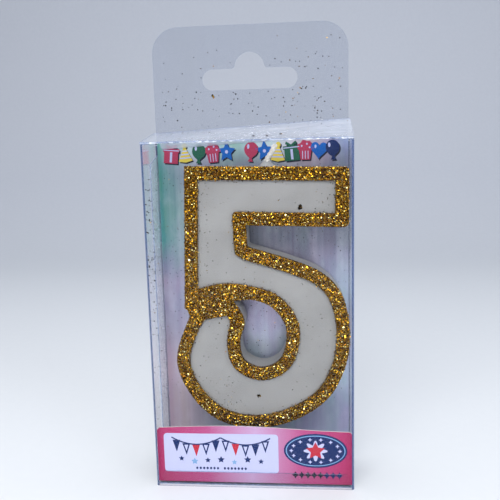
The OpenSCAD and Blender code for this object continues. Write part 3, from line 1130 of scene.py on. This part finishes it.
def sleeve_path():
    """The box's cross-section with rounded folds, as (point, outward, wall, fold)."""
    corner_r = 0.8
    x, y = HALF_W - corner_r, HALF_D - corner_r
    walls = [("front", (-x, -HALF_D), (x, -HALF_D), (0, -1), 40),
             ("right", (HALF_W, -y), (HALF_W, y), (1, 0), 12),
             ("back", (x, HALF_D), (-x, HALF_D), (0, 1), 40),
             ("left", (-HALF_W, y), (-HALF_W, -y), (-1, 0), 12)]
    corners = [((x, -y), -90), ((x, y), 0), ((-x, y), 90), ((-x, -y), 180)]
    path = []
    for (wall, a, b, out, count), (centre, first) in zip(walls, corners):
        a, b = np.array(a), np.array(b)
        for k in range(count + 1):
            path.append((a + (b - a) * k / count, np.array(out, float), wall, 0.0))
        for k in range(1, 5):
            angle = math.radians(first + k * 18)
            out = np.array([math.cos(angle), math.sin(angle)])
            path.append((np.array(centre) + corner_r * out, out, "corner", 1.0))
    return path


SIDE_SINK = {"left": 0.05, "right": 0.24}  # how far each side wall sags inward
FRONT_SINK = 0.42
WALL_ROWS = 54


def sleeve_sink(wall, point, z, v):
    """How far a wall is pulled inward at a point that is v of the way up."""
    pull = math.sin(math.pi * min(1, v * 1.02))
    if wall == "front":
        sag = FRONT_SINK * pull * math.cos(math.pi * point[0] / (2 * HALF_W)) ** 0.7
        return sag + abs(film_wave(point[0], z, 0.10)) * pull
    return SIDE_SINK.get(wall, 0.0) * pull * math.cos(math.pi * point[1] / (2 * HALF_D))


def sleeve_faces(rows, columns):
    """Faces of a two-sided sheet wrapped round the box, and the number of them on its wide sides."""
    half = rows * columns
    top = half - columns
    faces = []
    for a, b, c, d in ring_faces(rows, columns):
        faces.append((a, b, c, d))
        faces.append((half + b, half + a, half + d, half + c))
    wide = len(faces)
    for a in range(columns):
        b = (a + 1) % columns
        faces.append((b, a, half + a, half + b))
        faces.append((top + a, top + b, half + top + b, half + top + a))
    return faces, wide


def make_sleeve():
    """The four walls of the box as one folded sheet of film."""
    path = sleeve_path()
    tops = {"front": PACK_H, "back": BACK_HIGH[2]}
    verts, fold = [], []
    for depth in (0.0, FILM * 0.8):
        for v in np.linspace(0, 1, WALL_ROWS):
            for point, out, wall, bend in path:
                z = tops.get(wall, SIDE_HIGH[2]) * v
                x, y = point - out * (sleeve_sink(wall, point, z, v) + depth)
                verts.append((x, y, z))
                fold.append(bend)
    faces, wide = sleeve_faces(WALL_ROWS, len(path))
    indices = [0] * wide + [1] * (len(faces) - wide)
    piece = make_object("clear_sleeve", verts, faces, [film_clear, film_edge], "pack",
                        indices=indices)
    attribute = piece.data.attributes.new("fold", "FLOAT", "POINT")
    attribute.data.foreach_set("value", fold)
    smooth_by_angle(piece, 50)
    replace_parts(piece, "front_panel", "left_panel", "right_panel", "back_panel")


def film_sheet(name, node, body, film, wide_normal, move=still):
    """A sheet of film in a CAD node's place. Faces turned away from its wide sides are cut edges."""
    piece = card_sheet(name, node, body, [film, film_edge], move)
    for polygon in piece.data.polygons:
        if abs(polygon.normal.dot(Vector(wide_normal))) < 0.7:
            polygon.material_index = 1
    return piece


def dust_flaps(end):
    for side in ("left", "right"):
        node = f"{end}_dust_{side}"
        film_sheet(node + "_film", node, node, film_flap, (0, 0, 1))


def bow_tab(x, y, z):
    rise = (z - TAB_LOW[2]) / (TAB_HIGH[2] - TAB_LOW[2])
    lean = 0.35 * rise * rise * (0.6 + 0.4 * math.cos(x * 0.07))
    return x, y - lean - 0.10 * rise * (1 + math.sin(x * 0.19 + z * 0.11)), z


TWIST = math.radians(9.5)
TOP_CREASE_Z = PACK_H + 0.05


def warp_lid(x, y, z):
    """The free edge of the top lid stands higher towards the right, as warped film does."""
    angle = TWIST * (x + HALF_W) / (2 * HALF_W)
    dy, dz = y + HALF_D, z - TOP_CREASE_Z
    turned_y = dy * math.cos(angle) - dz * math.sin(angle)
    turned_z = dy * math.sin(angle) + dz * math.cos(angle)
    reach = min(1.0, max(0.0, math.hypot(dy, dz) / 18))
    ripple = 0.16 * math.sin(x * 0.33 + 0.5) * math.sin(math.pi * reach)
    return x, turned_y - HALF_D, TOP_CREASE_Z + turned_z + ripple


def make_top_crease():
    """The slightly crumpled fold between the front wall and the top lid, with painted white highlights along
    it.
    """
    random = np.random.default_rng(SEED + 3)
    count, sides, mean_r = 160, 10, 0.20
    end = HALF_W - 0.3
    middle = np.array([(x, -HALF_D + 0.15, PACK_H) for x in np.linspace(-end, end, count)])
    middle[1:-1] += random.normal(0, 0.035, (count - 2, 3)) * (0, 1, 1)
    radii = mean_r * (1 + random.uniform(-0.25, 0.35, count))
    angles = TURN * np.arange(sides) / sides
    around = np.stack([np.zeros(sides), np.cos(angles), np.sin(angles)], 1)
    verts = (middle[:, None] + radii[:, None, None] * around).reshape(-1, 3)
    faces = ring_faces(count, sides) + end_caps(count, sides)
    make_object("top_crease", verts, faces, [film_crease], "pack")


make_sleeve()
film_sheet("tab_film", "hang_tab", "pack", film_tab, (0, 1, 0), bow_tab)
film_sheet("seam_film", "glue_seam", "pack", film_flap, (1, 0, 0))
lid_film = film_sheet("lid_film", "top_lid", "top_lid", film_flap, (0, -0.17, 0.98), warp_lid)
film_sheet("tuck_film", "top_tuck", "top_tuck", film_flap, (0, 0.98, 0.1), warp_lid)
dust_flaps("top")
film_sheet("bottom_lid_film", "bottom_lid", "bottom_lid", film_flap, (0, 0, 1))
film_sheet("bottom_tuck_film", "bottom_tuck", "bottom_tuck", film_base, (0, 1, 0))
dust_flaps("bottom")
make_top_crease()


# ---- loose glitter

def irregular(random, spot, size, y, count=14):
    """A lump of several flakes stuck together."""
    places = spot + random.normal(0, size * 0.45, (count, 2))
    centres = stood_up(places, y - random.uniform(0, size * 0.4, count))
    return centres, random.uniform(size * 0.4, size * 0.75, count)


def speck_piece(name, random, groups, body="pack", facing=(0, -1, 0)):
    """One piece made of groups of loose flakes, given as (centres, radii)."""
    centres = np.concatenate([centre for centre, radius in groups])
    radii = np.concatenate([radius for centre, radius in groups])
    facings = tilted(np.tile(np.array(facing, float), (len(centres), 1)), 0.2, random)
    flake_mesh(name, centres, facings, radii, loose_flake, depth=0.3, body=body)


def wax_specks(random):
    """Stray flakes on the bare wax, thicker at the arm's end and low on the bowl."""
    areas = ((260, (-24, 17), (30, 100)), (70, (20, 84), (28, 97)), (90, (-20, 21), (-4, 34)),
             (110, (-24, 50), (-12, 98)))
    lumps = (((15.5, 87.0), 0.72), ((1.5, 27.5), 0.52), ((-9.4, 52.6), 0.22), ((-10.3, 51.2), 0.2))
    groups = []
    for count, low, high in areas:
        spots = random.uniform(low, high, (count, 2))
        spots = spots[inside(spots, [outline, counter]) & ~inside(spots, rim_loops)]
        groups.append((stood_up(spots, WAX_FRONT - 0.04), random.uniform(0.07, 0.19, len(spots))))
    groups += [irregular(random, np.array(spot), size, WAX_FRONT) for spot, size in lumps]
    speck_piece("specks_on_wax", random, groups, "candle")


def wall_specks(random):
    """A band of stray flakes on the inside of the left wall, and more spread up and down it."""
    z = np.concatenate([random.triangular(52, 82, 97, 75), random.uniform(20, 100, 40)])
    y = random.uniform(-HALF_D + 2, HALF_D - 3, len(z))
    sink = SIDE_SINK["left"] * np.sin(np.pi * z / SIDE_HIGH[2]) * np.cos(np.pi * y / (2 * HALF_D))
    centres = np.stack([-HALF_W + sink + FILM + 0.05, y, z], 1)
    groups = [(centres, random.uniform(0.12, 0.26, len(z)))]
    speck_piece("specks_on_left_wall", random, groups, facing=(0.45, -1, 0))


def card_specks(random):
    """Stray flakes on the printed card where it shows beside the candle."""
    spots = random.uniform((-30, 22), (30, 100), (640, 2))
    spots = spots[~inside(spots, [outline, counter])]
    centres = np.array([(x, card_face(x, z) - 0.05, z) for x, z in spots])
    speck_piece("specks_on_card", random, [(centres, random.uniform(0.08, 0.18, len(spots)))])


def tab_specks(random):
    """Stray flakes on the hang tab, most of them low down and right of the slot."""
    tab_loops = face_loops("hang_tab", 1, TAB_LOW[1])
    count = 150
    x = random.uniform(-28, 29, count)
    z = random.triangular(TAB_LOW[2] + 1, TAB_LOW[2] + 12, TAB_HIGH[2] - 2, count)
    right = random.uniform((10, TAB_LOW[2] + 4), (26, TAB_LOW[2] + 24), (35, 2))
    spots = np.concatenate([np.stack([x, z], 1), right])
    spots = spots[inside(spots, tab_loops) & (edge_distance(spots, tab_loops) > 0.4)]
    centres = np.array([bow_tab(x, TAB_LOW[1], z) for x, z in spots]) - (0, 0.05, 0)
    groups = [(centres, random.uniform(0.10, 0.24, len(spots)))]
    lump = np.array([-11.8, 121.6])
    groups.append(irregular(random, lump, 0.42, bow_tab(lump[0], TAB_LOW[1], lump[1])[1]))
    speck_piece("specks_on_tab", random, groups)


def lid_specks(random):
    """A few flakes and three lumps of them that lie on the lid."""
    faces = [face for face in lid_film.data.polygons if face.normal.z > 0.8]
    places = np.array([face.center for face in faces]) / MM + (0, 0, 0.08)
    right = np.flatnonzero(places[:, 0] > 12)
    picks = np.concatenate([random.integers(0, len(places), 14), random.choice(right, 16)])
    groups = [(places[picks], random.uniform(0.07, 0.2, len(picks)))]
    for spot in ((2.2, -6.2), (9.3, -5.6), (6.8, -6.4)):
        nearest = np.argmin(np.hypot(*(places[:, :2] - spot).T))
        offsets = random.normal(0, 0.17, (9, 3)) * (1, 1, 0.4)
        groups.append((places[nearest] + offsets + (0, 0, 0.1), random.uniform(0.15, 0.32, 9)))
    speck_piece("specks_on_lid", random, groups, "top_lid", (0, -0.5, 1))


speck_random = np.random.default_rng(SEED + 9)
for make_specks in (wax_specks, wall_specks, card_specks, tab_specks, lid_specks):
    make_specks(speck_random)


# ---- the stage

def make_stage():
    """A pale floor that sweeps up into a backdrop far behind the pack."""
    near, far, bend, height, half = -1.2, 0.75, 0.35, 1.6, 1.8
    profile = [(near, 0.0), (far - bend, 0.0)]
    for k in range(1, 13):
        angle = math.pi / 2 * k / 12
        profile.append((far - bend + bend * math.sin(angle), bend - bend * math.cos(angle)))
    profile.append((far, height))
    verts = [(x, y, z - 0.00002) for x in (-half, half) for y, z in profile]
    faces = strip_faces(len(profile))
    mesh = bpy.data.meshes.new("stage")
    mesh.from_pydata(verts, [], faces)
    mesh.polygons.foreach_set("use_smooth", [True] * len(faces))
    mesh.materials.append(stage_material())
    stage = bpy.data.objects.new("stage", mesh)
    collection.objects.link(stage)


def area_light(name, place, target, size, power, colour):
    light = bpy.data.lights.new(name, "AREA")
    light.shape = "RECTANGLE"
    light.size, light.size_y = size
    light.energy = power
    light.color = colour
    lamp = bpy.data.objects.new(name, light)
    collection.objects.link(lamp)
    lamp.location = place
    lamp.rotation_euler = (Vector(target) - Vector(place)).to_track_quat("-Z", "Y").to_euler()


def make_world():
    world = bpy.data.worlds.new("studio")
    bpy.context.scene.world = world
    world.use_nodes = True
    tree = world.node_tree
    background = tree.nodes["Background"]
    background.inputs["Color"].default_value = (0.84, 0.87, 0.92, 1)
    background.inputs["Strength"].default_value = 0.50


make_stage()
area_light("key", (-0.16, -0.54, 0.54), (0, 0, 0.06), (0.50, 0.36), 2.7, (1.0, 0.99, 0.97))
area_light("front", (0.08, -0.58, 0.42), (0, 0, 0.05), (0.36, 0.22), 1.35, (0.99, 0.99, 1.0))
area_light("fill", (0.50, -0.42, 0.26), (0, 0, 0.06), (0.25, 0.4), 1.1, (0.92, 0.95, 1.0))
area_light("sky", (0.0, 0.10, 1.1), (0, 0.1, 0), (1.0, 0.8), 6.0, (0.94, 0.97, 1.0))
make_world()
bpy.context.scene.view_settings.view_transform = "Standard"
